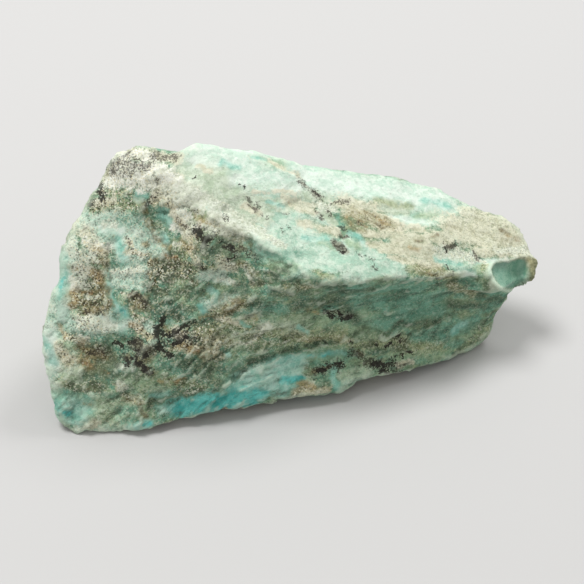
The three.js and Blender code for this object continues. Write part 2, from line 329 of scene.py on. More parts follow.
# What lies where. Each mineral, called by its look, is a list of streaks on the sides that face
# the camera, from left to right: x, y to x, y in picture points, and how far in millimetres it
# reaches from that line as it fades out. Their order also seeds the noise that scatters them.
MINERALS = {
    "mint": [
        (54, 300, 46, 372, 4), (54, 372, 62, 392, 2), (58, 330, 62, 372, 3), (62, 240, 68, 300, 2.5),
        (66, 250, 72, 262, 3), (74, 322, 122, 326, 2.4), (76, 338, 88, 342, 1.4), (78, 218, 98, 236, 3),
        (86, 430, 120, 428, 3), (88, 332, 104, 334, 1.6), (90, 396, 104, 397, 1.5), (96, 180, 104, 172, 2),
        (96, 410, 132, 410, 2.5), (98, 424, 130, 423, 2), (100, 404, 110, 404, 1.4), (102, 224, 140, 229, 3),
        (103, 413, 117, 411, 1.4), (104, 236, 148, 244, 3), (106, 227, 118, 229, 1.6),
        (106, 314, 118, 318, 1.8), (108, 324, 118, 326, 1.6), (110, 274, 150, 272, 1.8),
        (112, 172, 150, 184, 1.4), (112, 226, 148, 246, 5), (112, 284, 146, 286, 1.4),
        (112, 304, 120, 312, 1.4), (112, 318, 128, 322, 1.6), (126, 256, 130, 270, 3),
        (138, 322, 150, 326, 1.3), (146, 229, 163, 254, 1.6), (152, 388, 168, 390, 1),
        (164, 411, 178, 406, 1.5), (176, 218, 188, 204, 1.6), (186, 190, 200, 203, 1.8),
        (195, 152, 300, 168, 6), (198, 277, 210, 275, 1), (198, 277, 222, 278, 1), (200, 170, 290, 190, 7),
        (204, 276, 228, 267, 1.6), (205, 306, 234, 299, 1.6), (215, 190, 300, 230, 6),
        (220, 280, 228, 282, 1), (240, 225, 300, 262, 4), (240, 382, 268, 374, 1.8),
        (240, 384, 300, 364, 2.2), (246, 378, 276, 366, 2), (250, 196, 262, 198, 1),
        (270, 333, 286, 331, 1.5), (280, 246, 330, 258, 4), (290, 262, 400, 270, 2.4),
        (300, 172, 455, 202, 6), (300, 240, 372, 262, 4), (316, 256, 350, 262, 2), (322, 193, 346, 197, 2),
        (322, 216, 332, 222, 1.5), (346, 276, 374, 277, 1.5), (346, 377, 366, 372, 2),
        (352, 241, 374, 254, 2), (362, 251, 374, 254, 1.3), (395, 222, 450, 215, 3),
        (396, 206, 440, 208, 1.6), (440, 259, 490, 264, 2), (457, 269, 472, 270, 1.5),
    ],
    "celadon": [
        (60, 346, 74, 372, 2.4), (66, 372, 78, 380, 1.6), (96, 418, 136, 416, 2), (100, 402, 136, 400, 1.8),
        (176, 182, 204, 190, 2), (186, 166, 236, 182, 3.5), (200, 192, 226, 204, 3),
        (206, 180, 236, 206, 3.5), (206, 222, 232, 236, 1.8), (218, 340, 236, 337, 1.6),
        (226, 204, 250, 218, 2.5), (236, 196, 262, 214, 3), (236, 342, 262, 336, 2),
        (242, 318, 258, 313, 1.4), (248, 200, 290, 208, 1.6), (250, 186, 300, 188, 1.4),
        (262, 330, 300, 322, 2.2), (290, 336, 304, 334, 1.2), (300, 192, 326, 196, 2),
        (300, 376, 312, 382, 1.2), (322, 212, 334, 222, 1.4), (380, 206, 404, 210, 2),
    ],
    "sage": [
        (58, 340, 70, 345, 2), (60, 376, 74, 378, 1.2), (60, 398, 130, 399, 2.5), (76, 340, 86, 342, 1.6),
        (88, 414, 140, 414, 5), (96, 404, 128, 402, 2), (106, 338, 116, 341, 1.4), (122, 380, 166, 380, 3),
        (150, 354, 155, 366, 1), (150, 387, 168, 389, 1.2), (152, 388, 168, 388, 1.6),
        (154, 386, 168, 390, 1.3), (176, 296, 192, 310, 2), (196, 212, 206, 214, 1.8),
        (200, 156, 216, 157, 1.8), (204, 354, 214, 357, 1.3), (212, 376, 226, 384, 1.4),
        (216, 235, 230, 236, 1.3), (216, 244, 222, 246, 1), (224, 338, 236, 342, 1.2),
        (224, 376, 238, 370, 1.3), (228, 258, 238, 262, 1.2), (230, 340, 284, 334, 1.8),
        (236, 346, 262, 340, 2), (242, 315, 256, 317, 1.4), (262, 163, 282, 165, 2),
        (274, 262, 292, 267, 1.8), (280, 321, 326, 320, 2.5), (288, 341, 304, 340, 1.4),
        (290, 339, 302, 341, 1.2), (294, 341, 306, 341, 1.4), (298, 382, 310, 378, 1.2),
        (300, 356, 340, 356, 1.5), (314, 330, 326, 333, 1.4), (322, 244, 332, 247, 1.2),
        (324, 348, 340, 349, 1.2), (340, 330, 372, 336, 3), (344, 374, 368, 370, 2.5),
        (346, 347, 358, 348, 1), (348, 243, 358, 246, 1.2), (358, 314, 376, 316, 2),
        (370, 282, 384, 282, 1.2), (396, 352, 444, 350, 3), (418, 218, 436, 212, 1.6),
        (450, 260, 462, 261, 1.4), (452, 340, 480, 332, 2), (464, 275, 474, 277, 1.2),
        (474, 268, 494, 269, 1.6),
    ],
    "frost": [
        (47, 340, 50, 372, 3), (66, 296, 62, 318, 1.5), (104, 226, 120, 231, 1.6), (104, 320, 122, 328, 1.6),
        (138, 198, 146, 205, 1.3), (178, 186, 206, 204, 1.2), (184, 190, 200, 200, 1.4),
        (184, 190, 206, 206, 1.6), (186, 192, 200, 202, 1.6), (195, 153, 250, 158, 5),
        (206, 206, 232, 222, 1.6), (232, 222, 260, 238, 1.6), (236, 178, 330, 186, 3),
        (256, 190, 300, 190, 1.4), (268, 388, 286, 387, 1.2), (300, 176, 440, 200, 5),
        (392, 218, 424, 221, 1.2), (458, 273, 474, 275, 1.4), (490, 260, 512, 261, 1),
    ],
    "olive": [
        (60, 380, 74, 388, 1.5), (74, 314, 86, 318, 1.4), (74, 315, 88, 316, 1.5), (80, 388, 96, 389, 1.8),
        (92, 210, 112, 205, 1.4), (92, 298, 104, 303, 1.3), (94, 268, 98, 284, 1.2),
        (100, 204, 142, 204, 1.8), (104, 192, 130, 194, 1.6), (156, 272, 186, 250, 2),
        (166, 262, 196, 272, 1.6), (170, 380, 204, 390, 2.5), (180, 262, 215, 266, 2),
        (188, 209, 198, 215, 1.2), (190, 246, 214, 262, 1.6), (191, 209, 200, 216, 2.4),
        (193, 208, 198, 214, 1), (200, 220, 225, 232, 2), (200, 330, 250, 325, 2.5),
        (202, 219, 214, 226, 1.4), (250, 336, 340, 338, 3), (256, 374, 270, 368, 0.8),
        (286, 372, 304, 366, 1), (316, 273, 332, 277, 1), (346, 216, 392, 230, 2), (350, 210, 392, 226, 1.4),
        (350, 346, 400, 342, 2.5), (354, 218, 378, 224, 1.4), (376, 202, 412, 206, 1.6),
        (400, 346, 440, 346, 2.5), (412, 268, 456, 276, 2.5), (470, 340, 484, 330, 2),
        (484, 266, 492, 270, 1.2), (484, 268, 494, 270, 1), (520, 257, 534, 262, 1.6),
        (532, 262, 526, 280, 2),
    ],
    "cream": [
        (66, 284, 74, 302, 1.4), (68, 282, 76, 288, 1.6), (78, 226, 98, 246, 2.5), (78, 424, 94, 424, 2),
        (96, 204, 112, 200, 1.4), (108, 172, 172, 182, 4), (116, 154, 176, 158, 3),
        (156, 192, 192, 203, 2.5), (196, 166, 212, 172, 1), (214, 222, 240, 238, 1.8),
        (246, 206, 258, 214, 1.4), (250, 157, 300, 178, 1.4), (254, 192, 298, 193, 0.8),
        (284, 198, 316, 205, 1.3), (292, 204, 312, 211, 1.8), (296, 393, 326, 390, 1.6),
        (300, 222, 335, 232, 1.7), (345, 204, 398, 230, 4), (350, 202, 372, 206, 2),
        (352, 210, 366, 212, 1.8), (360, 232, 395, 238, 1.4), (370, 244, 392, 247, 1.3),
        (380, 250, 400, 253, 1.2), (390, 257, 402, 261, 1.2), (392, 248, 428, 256, 2.2),
        (395, 240, 450, 238, 3), (400, 366, 412, 362, 1), (402, 260, 414, 261, 1.8),
        (404, 244, 430, 252, 3.5), (404, 246, 426, 252, 1.6), (410, 228, 422, 229, 2),
        (418, 262, 440, 266, 1.5), (422, 252, 436, 257, 1.8), (455, 228, 524, 246, 7),
        (470, 215, 500, 222, 5), (478, 235, 500, 252, 3), (478, 252, 492, 252, 1.8), (498, 252, 520, 254, 2),
    ],
    "teal": [
        (66, 394, 128, 395, 1.4), (92, 340, 108, 344, 1.4), (97, 339, 118, 341, 1.4),
        (106, 347, 124, 350, 1.6), (108, 264, 134, 263, 1), (108, 292, 116, 294, 1.4),
        (110, 290, 114, 296, 1.2), (112, 290, 116, 320, 2), (112, 350, 126, 352, 1.6),
        (115, 334, 132, 333, 1.8), (119, 412, 138, 411, 1.8), (120, 218, 140, 224, 1.6),
        (122, 420, 140, 420, 1.6), (128, 306, 136, 318, 1.2), (132, 190, 148, 198, 1.1),
        (148, 304, 174, 309, 2.2), (148, 308, 158, 311, 1.4), (160, 366, 186, 368, 2),
        (164, 300, 190, 316, 2), (188, 388, 196, 390, 1.2), (198, 307, 212, 310, 1.6),
        (202, 263, 216, 261, 1.1), (222, 364, 236, 372, 1.5), (222, 372, 236, 364, 1.8),
        (240, 240, 256, 250, 2), (262, 252, 288, 262, 2), (262, 308, 286, 310, 1.6),
        (262, 360, 300, 352, 1.2), (264, 339, 280, 340, 1), (280, 358, 355, 352, 1.5),
        (284, 254, 298, 255, 1.6), (284, 356, 344, 354, 1.6), (304, 364, 316, 363, 1.2),
        (322, 242, 334, 246, 0.9), (330, 288, 420, 290, 3), (338, 216, 341, 222, 0.6),
        (341, 222, 344, 230, 0.6), (343, 230, 346, 236, 0.5), (348, 234, 356, 240, 1),
        (360, 302, 440, 296, 4), (380, 320, 440, 310, 4), (400, 312, 440, 306, 2), (415, 338, 432, 335, 2),
        (425, 333, 436, 342, 1.5), (444, 268, 474, 270, 1), (444, 336, 476, 320, 2.8),
        (445, 344, 460, 342, 1.4), (470, 284, 500, 294, 2), (478, 310, 498, 304, 1.8),
    ],
    "aqua": [
        (44, 340, 47, 368, 1.5), (54, 404, 84, 408, 3.5), (56, 408, 72, 416, 2.5), (56, 412, 80, 417, 2.6),
        (58, 414, 80, 414, 3), (60, 410, 76, 416, 1.8), (60, 412, 76, 420, 2), (66, 254, 62, 292, 2.4),
        (68, 419, 79, 424, 1.6), (108, 284, 111, 298, 1.2), (116, 306, 126, 314, 1.6),
        (116, 366, 136, 368, 1.2), (118, 240, 124, 256, 1.6), (130, 428, 150, 422, 1.4),
        (138, 192, 146, 197, 0.7), (152, 396, 168, 393, 1.1), (160, 212, 168, 222, 1.5),
        (163, 236, 168, 244, 1), (164, 408, 180, 402, 2), (166, 210, 170, 216, 1.2),
        (170, 321, 176, 326, 0.9), (199, 307, 203, 311, 0.9), (202, 352, 209, 357, 0.9),
        (210, 290, 216, 294, 1.2), (222, 163, 238, 168, 1.2), (226, 352, 231, 356, 0.8),
        (232, 386, 296, 366, 3), (236, 380, 290, 372, 2.5), (240, 321, 250, 326, 0.7),
        (248, 156, 262, 160, 1.2), (254, 398, 290, 392, 1.5), (262, 389, 284, 388, 2),
        (266, 389, 286, 387, 2.6), (267, 202, 282, 207, 0.9), (270, 389, 286, 386, 1.6),
        (272, 363, 300, 358, 1.6), (284, 389, 296, 386, 1.4), (298, 328, 306, 334, 0.8),
        (300, 357, 345, 352, 0.8), (304, 237, 326, 240, 1.1), (333, 372, 336, 386, 1.2),
        (352, 234, 362, 239, 1.4), (424, 201, 446, 205, 1.6), (436, 258, 460, 262, 1.3),
        (454, 330, 464, 324, 1.6),
    ],
    "turquoise": [
        (60, 411, 70, 414, 0.9), (64, 272, 61, 290, 0.5), (121, 311, 125, 313, 0.6), (136, 428, 150, 424, 1),
        (178, 409, 215, 401, 3), (190, 408, 240, 400, 2.5), (200, 403, 255, 396, 3),
        (204, 411, 252, 404, 2.5), (206, 403, 230, 402, 1.5), (250, 396, 266, 393, 1.2),
        (282, 381, 302, 377, 1.1), (304, 356, 330, 355, 0.4),
    ],
    # Dark moss green, partly the stone's own and partly painted shade under ledges, the crest and the scoop.
    "moss_and_shade": [
        (76, 385, 98, 388, 2.4), (84, 388, 100, 385, 0.9), (88, 284, 104, 288, 1), (88, 343, 102, 346, 1.2),
        (90, 376, 140, 373, 2), (92, 299, 102, 303, 1.2), (96, 366, 110, 372, 1), (98, 362, 110, 366, 1.2),
        (106, 346, 116, 366, 1.4), (120, 372, 150, 376, 0.8), (132, 346, 146, 351, 1.2),
        (140, 344, 150, 352, 1.2), (140, 345, 148, 350, 1), (147, 305, 158, 310, 1.9),
        (148, 304, 158, 312, 1.4), (150, 284, 160, 266, 2), (150, 304, 156, 312, 1.2),
        (152, 290, 168, 302, 2), (152, 403, 200, 390, 1.3), (154, 268, 168, 271, 1.6),
        (154, 306, 168, 314, 1.4), (156, 268, 166, 270, 1.4), (158, 293, 186, 292, 1.2),
        (162, 262, 188, 272, 2.4), (164, 275, 172, 277, 1.4), (170, 312, 200, 326, 1.4),
        (180, 308, 190, 309, 1.2), (180, 362, 218, 368, 2.2), (186, 372, 198, 373, 1.2),
        (196, 252, 206, 253, 1.1), (197, 248, 212, 252, 1.2), (198, 268, 206, 270, 0.8),
        (200, 248, 222, 246, 1.4), (200, 250, 236, 256, 2), (202, 285, 210, 285, 0.8),
        (204, 324, 218, 324, 1.5), (204, 374, 222, 384, 1.5), (206, 362, 224, 360, 1.4),
        (212, 394, 230, 381, 0.7), (220, 240, 246, 238, 1.3), (222, 296, 244, 290, 1.2),
        (228, 244, 236, 245, 1.2), (230, 381, 248, 371, 0.7), (232, 374, 250, 366, 0.7),
        (234, 284, 246, 286, 1.1), (244, 293, 256, 303, 1.8), (248, 243, 257, 248, 0.7),
        (248, 349, 262, 346, 0.8), (250, 251, 262, 256, 1.1), (250, 362, 268, 356, 1.2),
        (266, 258, 290, 266, 0.7), (266, 276, 278, 277, 1.2), (274, 267, 286, 270, 1),
        (274, 292, 290, 294, 1.6), (280, 352, 300, 348, 0.6), (283, 340, 290, 340, 0.9),
        (300, 304, 340, 300, 2.5), (300, 346, 320, 345, 0.6), (316, 284, 340, 284, 1.3),
        (316, 285, 344, 286, 1.6), (330, 292, 372, 290, 1.3), (344, 306, 356, 320, 2),
        (394, 326, 440, 322, 1), (394, 348, 406, 350, 1.4), (450, 304, 484, 306, 1.6),
        (482, 296, 514, 291, 1.8), (488, 300, 500, 298, 1.6),
    ],
    "sand": [
        (72, 298, 104, 304, 2.6), (86, 349, 104, 356, 2.2), (92, 284, 104, 292, 2), (95, 262, 104, 263, 1.4),
        (120, 394, 140, 402, 1.4), (132, 312, 142, 320, 1.2), (134, 300, 144, 305, 1.6),
        (148, 262, 156, 286, 0.9), (170, 268, 194, 282, 1), (176, 347, 212, 348, 2),
        (200, 334, 230, 342, 2.0), (215, 312, 245, 302, 2), (238, 264, 258, 276, 1.3),
        (252, 283, 308, 287, 1.4), (294, 394, 325, 388, 1.8), (300, 340, 350, 340, 1),
        (348, 222, 362, 230, 1.4), (352, 215, 380, 222, 1.8), (368, 212, 392, 226, 1.3),
        (420, 270, 452, 276, 1.8), (452, 286, 474, 294, 2),
    ],
    "crust": [
        (58, 345, 70, 362, 1.6), (66, 334, 80, 340, 1.2), (72, 266, 84, 272, 1.4), (84, 268, 98, 276, 1.8),
        (88, 248, 104, 254, 1.8), (90, 268, 98, 278, 1.2), (122, 294, 130, 296, 0.8),
        (126, 252, 146, 254, 1), (128, 240, 134, 246, 1), (134, 326, 150, 336, 1.5),
        (154, 200, 170, 205, 1.5), (160, 190, 170, 196, 1), (172, 214, 190, 236, 1.6),
        (176, 330, 190, 344, 1.6), (178, 345, 214, 350, 1.6), (178, 347, 192, 350, 1.6),
        (192, 246, 196, 262, 1.2), (204, 338, 214, 342, 1.4), (208, 357, 222, 355, 1.4),
        (212, 356, 221, 357, 1.2), (214, 222, 238, 236, 2.2), (214, 318, 236, 322, 1),
        (220, 259, 230, 268, 1.4), (226, 262, 236, 268, 1.2), (352, 211, 396, 228, 2.4),
    ],
    "brown": [
        (72, 302, 80, 308, 1.2), (74, 390, 92, 386, 0.9), (78, 290, 104, 291, 2.2), (78, 386, 98, 388, 1.2),
        (82, 346, 102, 352, 2.2), (82, 371, 98, 366, 0.9), (84, 302, 106, 308, 2.4),
        (84, 312, 104, 308, 1.5), (88, 350, 104, 362, 2.8), (92, 261, 106, 263, 1.4),
        (92, 292, 106, 300, 1.6), (92, 370, 108, 373, 1.5), (96, 292, 106, 308, 1.5),
        (98, 270, 105, 292, 1.3), (98, 364, 110, 368, 1.4), (103, 260, 106, 270, 0.9),
        (104, 352, 116, 364, 2.4), (128, 357, 148, 360, 1.7), (132, 296, 146, 298, 1.4),
        (132, 304, 148, 308, 1.6), (136, 366, 152, 372, 1.8), (138, 342, 148, 349, 1),
        (138, 345, 146, 352, 1.4), (139, 406, 146, 418, 1), (143, 204, 150, 226, 1.3),
        (146, 206, 158, 236, 1.2), (150, 226, 160, 242, 1), (152, 220, 158, 240, 1), (154, 261, 166, 264, 1),
        (158, 293, 170, 296, 0.9), (162, 324, 168, 332, 1), (165, 260, 182, 266, 1.8),
        (175, 384, 186, 378, 0.9), (188, 350, 205, 357, 1.2), (200, 318, 222, 314, 0.9),
        (213, 356, 221, 360, 0.6), (226, 312, 242, 302, 2), (238, 250, 250, 246, 1.2),
        (312, 372, 328, 368, 1), (346, 218, 364, 226, 0.8), (354, 218, 362, 222, 0.6),
        (355, 350, 361, 352, 0.9), (366, 210, 384, 224, 0.5), (372, 222, 384, 227, 0.5),
        (416, 242, 422, 242, 0.6), (428, 272, 446, 278, 0.7), (430, 238, 438, 236, 0.6),
        (500, 230, 516, 240, 0.8), (526, 258, 534, 266, 1),
    ],
    "rust": [
        (82, 293, 92, 291, 0.6), (82, 362, 91, 364, 0.8), (106, 371, 109, 373, 0.5), (166, 255, 175, 258, 1),
        (194, 350, 199, 352, 0.6), (196, 234, 198, 242, 0.5),
    ],
    "ochre": [
        (60, 325, 63, 335, 0.9), (72, 292, 76, 306, 1.1), (82, 361, 92, 365, 2.2), (85, 405, 93, 406, 1),
        (89, 272, 95, 277, 0.9), (90, 272, 97, 277, 1.2), (92, 270, 100, 280, 1.2), (94, 246, 103, 250, 1),
        (114, 386, 117, 389, 0.8), (131, 325, 140, 328, 1.1), (145, 243, 148, 245, 0.9),
        (150, 258, 153, 272, 0.8), (151, 284, 155, 288, 0.9), (159, 380, 163, 382, 0.9),
        (163, 245, 170, 247, 0.9), (177, 382, 185, 379, 0.9), (183, 243, 189, 249, 1.8),
        (183, 346, 192, 351, 1.2), (192, 210, 197, 218, 0.9), (202, 221, 212, 224, 1.5),
        (241, 169, 242, 170, 0.5), (254, 314, 257, 319, 0.8), (289, 203, 291, 204, 0.7),
        (300, 384, 314, 386, 1.4), (310, 310, 318, 314, 0.8), (348, 215, 350, 224, 0.5),
        (378, 218, 386, 224, 0.7), (408, 246, 420, 250, 0.8), (506, 236, 518, 240, 0.8),
        (526, 258, 531, 266, 1),
    ],
    "white": [
        (72, 248, 92, 258, 2.4), (76, 279, 86, 285, 1.3), (78, 264, 82, 282, 2), (80, 322, 112, 326, 2),
        (86, 296, 98, 297, 0.9), (104, 223, 116, 226, 1), (112, 271, 146, 271, 0.8),
        (118, 366, 134, 368, 0.9), (118, 384, 125, 388, 1.5), (166, 190, 200, 210, 2),
        (174, 243, 180, 244, 0.8), (186, 188, 212, 205, 2), (188, 222, 194, 230, 1),
        (206, 226, 230, 236, 1.1), (212, 203, 262, 234, 2.4), (214, 218, 238, 232, 2),
        (222, 280, 236, 284, 0.8), (228, 263, 234, 264, 0.8), (232, 346, 252, 342, 0.8),
        (241, 316, 251, 315, 0.9), (246, 270, 252, 282, 0.9), (253, 339, 268, 326, 1),
        (262, 234, 282, 246, 1.4), (318, 204, 334, 208, 1.5), (440, 252, 470, 256, 2),
        (476, 259, 486, 262, 0.9), (482, 338, 484, 341, 0.5), (486, 324, 487, 331, 0.8),
        (496, 250, 518, 252, 1.5), (522, 250, 531, 254, 1.3),
    ],
    "pepper": [
        (75, 266, 80, 269, 0.6), (85, 312, 100, 312, 0.9), (90, 352, 102, 350, 1), (111, 165, 150, 166, 1.5),
        (112, 171, 130, 172, 1.5), (124, 358, 150, 370, 1.3), (126, 153, 134, 157, 1),
        (128, 239, 132, 244, 0.6), (132, 295, 146, 302, 1.2), (132, 352, 146, 356, 1),
        (134, 342, 150, 350, 1.6), (134, 348, 146, 349, 1.2), (136, 268, 138, 270, 0.4),
        (136, 346, 148, 350, 1.4), (138, 344, 150, 350, 1.2), (140, 342, 150, 348, 1.2),
        (144, 206, 149, 202, 0.8), (152, 197, 157, 194, 0.6), (154, 156, 166, 158, 1.3),
        (154, 177, 157, 181, 0.6), (155, 152, 176, 158, 1.4), (158, 338, 166, 344, 1),
        (160, 349, 166, 352, 0.9), (172, 334, 192, 338, 1.9), (176, 220, 188, 230, 0.7),
        (194, 211, 200, 214, 0.4), (196, 264, 204, 268, 0.8), (200, 226, 206, 228, 0.5),
        (200, 240, 212, 246, 0.5), (222, 213, 224, 216, 0.4), (224, 242, 234, 250, 1.1),
        (225, 218, 231, 224, 0.7), (233, 223, 235, 226, 0.4), (240, 248, 256, 258, 1),
        (245, 197, 251, 201, 0.8), (250, 204, 256, 209, 0.9), (257, 202, 260, 206, 0.6),
        (262, 215, 264, 217, 0.5), (266, 216, 268, 218, 0.4), (281, 228, 284, 230, 0.5),
        (283, 213, 287, 214, 0.5), (289, 227, 291, 230, 0.5), (300, 181, 308, 190, 1.2),
        (310, 190, 321, 198, 1.2), (316, 372, 342, 364, 1.5), (318, 213, 322, 217, 0.8),
        (326, 311, 350, 317, 1.3), (327, 209, 329, 215, 0.6), (333, 242, 344, 250, 1),
        (334, 204, 348, 201, 0.8), (340, 226, 346, 230, 0.8), (340, 236, 348, 238, 0.8),
        (350, 351, 362, 354, 1), (356, 212, 358, 213, 0.4), (358, 253, 364, 256, 0.5),
        (360, 222, 362, 224, 0.4), (364, 216, 366, 218, 0.4), (366, 255, 372, 260, 0.6),
        (366, 362, 400, 372, 1.8), (372, 220, 374, 221, 0.4), (372, 267, 376, 269, 0.6),
        (376, 216, 378, 217, 0.3), (380, 224, 382, 226, 0.4), (388, 226, 390, 228, 0.3),
        (396, 338, 404, 342, 1), (446, 246, 456, 245, 1.1), (473, 250, 479, 258, 0.9),
    ],
    "black": [
        (70, 274, 72, 273, 0.35), (90, 206, 95, 201, 1), (90, 221, 91, 222, 0.35), (99, 185, 101, 188, 0.9),
        (99, 192, 103, 198, 1), (115, 343, 123, 346, 0.7), (124, 362, 128, 363, 0.7),
        (126, 362, 136, 358, 0.9), (128, 359, 138, 355, 0.9), (128, 361, 136, 358, 0.9),
        (129, 342, 137, 341, 0.6), (134, 350, 140, 351, 0.7), (136, 357, 146, 355, 0.8),
        (136, 362, 140, 364, 0.8), (138, 356, 142, 355, 0.8), (143, 364, 150, 370, 0.8),
        (144, 370, 151, 372, 0.9), (157, 346, 160, 350, 1.2), (158, 326, 157, 334, 1.2),
        (161, 333, 168, 336, 1.2), (163, 319, 161, 324, 0.9), (164, 351, 171, 357, 1),
        (172, 331, 178, 330, 0.6), (176, 342, 182, 340, 0.9), (182, 328, 188, 327, 0.7),
        (186, 336, 188, 337, 0.6), (190, 322, 194, 321, 0.7), (194, 177, 196, 178, 0.35),
        (197, 230, 204, 242, 1.5), (205, 241, 213, 234, 1), (223, 242, 233, 248, 0.8),
        (226, 260, 234, 256, 0.6), (227, 219, 230, 222, 0.5), (240, 184, 244, 187, 0.5),
        (284, 340, 286, 342, 0.4), (301, 181, 303, 183, 0.5), (301, 182, 306, 187, 0.5),
        (311, 191, 320, 197, 0.6), (318, 371, 328, 368, 0.7), (322, 363, 328, 361, 0.5),
        (323, 343, 325, 345, 0.6), (326, 311, 331, 317, 0.7), (334, 365, 343, 364, 0.8),
        (336, 311, 342, 314, 0.7), (340, 251, 345, 252, 0.4), (344, 319, 350, 318, 0.8),
        (346, 228, 348, 231, 0.5), (348, 341, 351, 342, 0.6), (372, 364, 394, 366, 1),
        (375, 344, 378, 345, 0.5), (376, 344, 378, 345, 0.5), (380, 372, 392, 374, 0.8),
        (386, 346, 391, 344, 0.8), (393, 359, 396, 359, 0.7), (399, 336, 400, 341, 1),
        (402, 355, 403, 359, 0.5), (406, 352, 411, 352, 0.6), (436, 275, 438, 281, 0.4),
        (444, 247, 447, 249, 0.4), (446, 264, 449, 268, 0.4), (453, 270, 455, 273, 0.4),
        (470, 346, 477, 342, 0.6),
    ],
    "soot": [
        (138, 343, 150, 350, 1.4), (138, 346, 150, 352, 1.6), (154, 268, 170, 278, 2),
        (164, 264, 184, 268, 1.6), (301, 181, 306, 188, 0.7), (312, 192, 320, 197, 0.9),
        (334, 242, 344, 250, 1.3), (340, 234, 346, 238, 0.6), (449, 247, 455, 246, 0.9),
        (474, 252, 478, 257, 0.6),
    ],
    "chalk": [
        (72, 281, 77, 288, 1.4), (78, 338, 86, 342, 1.2), (84, 243, 104, 250, 1.6), (84, 266, 94, 273, 1.2),
        (104, 172, 150, 176, 3), (112, 154, 122, 158, 2), (112, 180, 168, 182, 2.6), (120, 176, 168, 182, 2),
        (134, 178, 164, 180, 1.8), (136, 152, 150, 158, 1.6), (140, 176, 164, 184, 1.6),
        (142, 178, 164, 182, 2), (150, 178, 164, 182, 1.6), (154, 166, 176, 184, 2.2),
        (170, 190, 192, 202, 2), (172, 226, 182, 230, 1.2), (174, 206, 186, 218, 1.6),
        (174, 212, 186, 232, 1.3), (186, 192, 198, 200, 1.6), (186, 192, 200, 204, 1.8),
        (188, 194, 200, 202, 2), (200, 224, 192, 232, 1), (214, 214, 236, 229, 1.6),
    ],
}

# How each mineral lies scattered on the sides turned away: the size in millimetres of the noise
# that places it, and the level above which it shows.
SCATTERED = {
    "mint": (14, -0.05), "celadon": (9, 0.15), "sage": (10, 0.1), "frost": (12, 0.2), "olive": (9, 0.1),
    "cream": (12, 0.15), "teal": (9, 0.12), "aqua": (10, 0.12), "turquoise": (8, 0.35), "moss_and_shade": (7, 0.25),
    "sand": (10, 0.05), "crust": (6, 0.2), "brown": (6, 0.25), "rust": (3, 0.5), "ochre": (4, 0.45),
    "white": (8, 0.25), "pepper": (4, 0.38), "black": (3.5, 0.52), "soot": (5, 0.5), "chalk": (8, 0.45),
}
SCATTER_EDGE = 2.5
SEEDS_APART = 31
turned_back = smoothstep(0.1, 0.5, outward[:, 1] - 0.4 * outward[:, 2])
turned_down = smoothstep(0.6, 0.9, -outward[:, 2])
turned_away = np.clip(turned_back + turned_down, 0, 1)
wavering = places + 0.55 * flutter

for order, (name, streaks) in enumerate(MINERALS.items()):
    across, level = SCATTERED[name]
    scattered = (lumps(beds * (0.5, 0.5, 1) + SEEDS_APART * order, across) - level) * SCATTER_EDGE
    keep(name, np.maximum(nearness(streaks, wavering), np.clip(scattered, 0, 1) * turned_away))

# How proud each point of the skin stands: its height over the place where smoothing would put it.
# Edges are above 0, hollows below.
SMOOTHING_ROUNDS = 14
ends = np.array([tuple(edge.vertices) for edge in stone_data.edges])
neighbours = np.bincount(ends.ravel(), minlength=len(places))
smoothed = places.copy()
for _ in range(SMOOTHING_ROUNDS):
    gathered = np.zeros_like(smoothed)
    np.add.at(gathered, ends[:, 0], smoothed[ends[:, 1]])
    np.add.at(gathered, ends[:, 1], smoothed[ends[:, 0]])
    smoothed = gathered / neighbours[:, None]
keep("proud", ((places - smoothed) * outward).sum(axis=1))

# Loose grit lies thickest at the blunt end and on the tip. Painted shade, in patches, along the
# laminae and in hollows, lies on the sides, but hardly on the upper face or the blunt end's crown.
left_crust = smoothstep(-12, -22, places[:, 0]) * smoothstep(6, 18, places[:, 2])
grainy = np.maximum(left_crust, 0.45 * smoothstep(8, -14, places[:, 0]))
tip = smoothstep(20, 32, places[:, 0])
crown = smoothstep(-18, -26, places[:, 0]) * smoothstep(27, 34, places[:, 2])
keep("gritty", 0.2 + (1 - topside) * (0.15 + 0.65 * grainy) + 0.35 * tip * topside)
# How strongly painted shade darkens each point: little on the upper face and the crown.
keep("painted_shade_share", (1 - 0.85 * np.maximum(topside, crown)) * (0.55 + 0.2 * thin_end))
keep("topside", topside)
bed_places = stone_data.attributes.new("beds", "FLOAT_VECTOR", "POINT")
bed_places.data.foreach_set("vector", np.ascontiguousarray(beds, np.float32).ravel())

# Nothing reaches below the floor.
places[:, 2] = np.maximum(places[:, 2], 0)
stone_data.vertices.foreach_set("co", (places * MM).astype(np.float32).ravel())
stone_data.update()

# ---- Stone's material ------------------------------------------------------------------------
# Chrysocolla in sand: a mottled green body, the minerals over it by their readings, single sand
# grains and black specks over those, and glass in the scoop. Lengths are millimetres here too.
paint = bpy.data.materials.new("chrysocolla_in_sand")
paint.use_nodes = True
tree = paint.node_tree
shader = tree.nodes["Principled BSDF"]


def node(kind, inputs, **settings):
    """Adds a shader node. Each input is a plain value or the output that feeds it."""
    made = tree.nodes.new("ShaderNode" + kind)
    for setting, value in settings.items():
        setattr(made, setting, value)
    for key, value in inputs.items():
        if isinstance(value, bpy.types.NodeSocket):
            tree.links.new(value, made.inputs[key])
        else:
            made.inputs[key].default_value = value
    return made


def reading(name):
    return node("Attribute", {}, attribute_name=name).outputs["Fac"]


def arithmetic(operation):
    """A function that works out one kind of sum of two values, by a node."""
    return lambda first, second: node("Math", {0: first, 1: second}, operation=operation).outputs[0]


plus, minus = arithmetic("ADD"), arithmetic("SUBTRACT")
times, larger = arithmetic("MULTIPLY"), arithmetic("MAXIMUM")


def step(value, low, high):
    """0 at low, 1 at high, and a smooth rise between. With low above high it falls."""
    inputs = {"Value": value, "From Min": low, "From Max": high}
    return node("MapRange", inputs, interpolation_type="SMOOTHSTEP").outputs["Result"]


def scaled(vector, factors):
    return node("VectorMath", {0: vector, 1: factors}, operation="MULTIPLY").outputs[0]


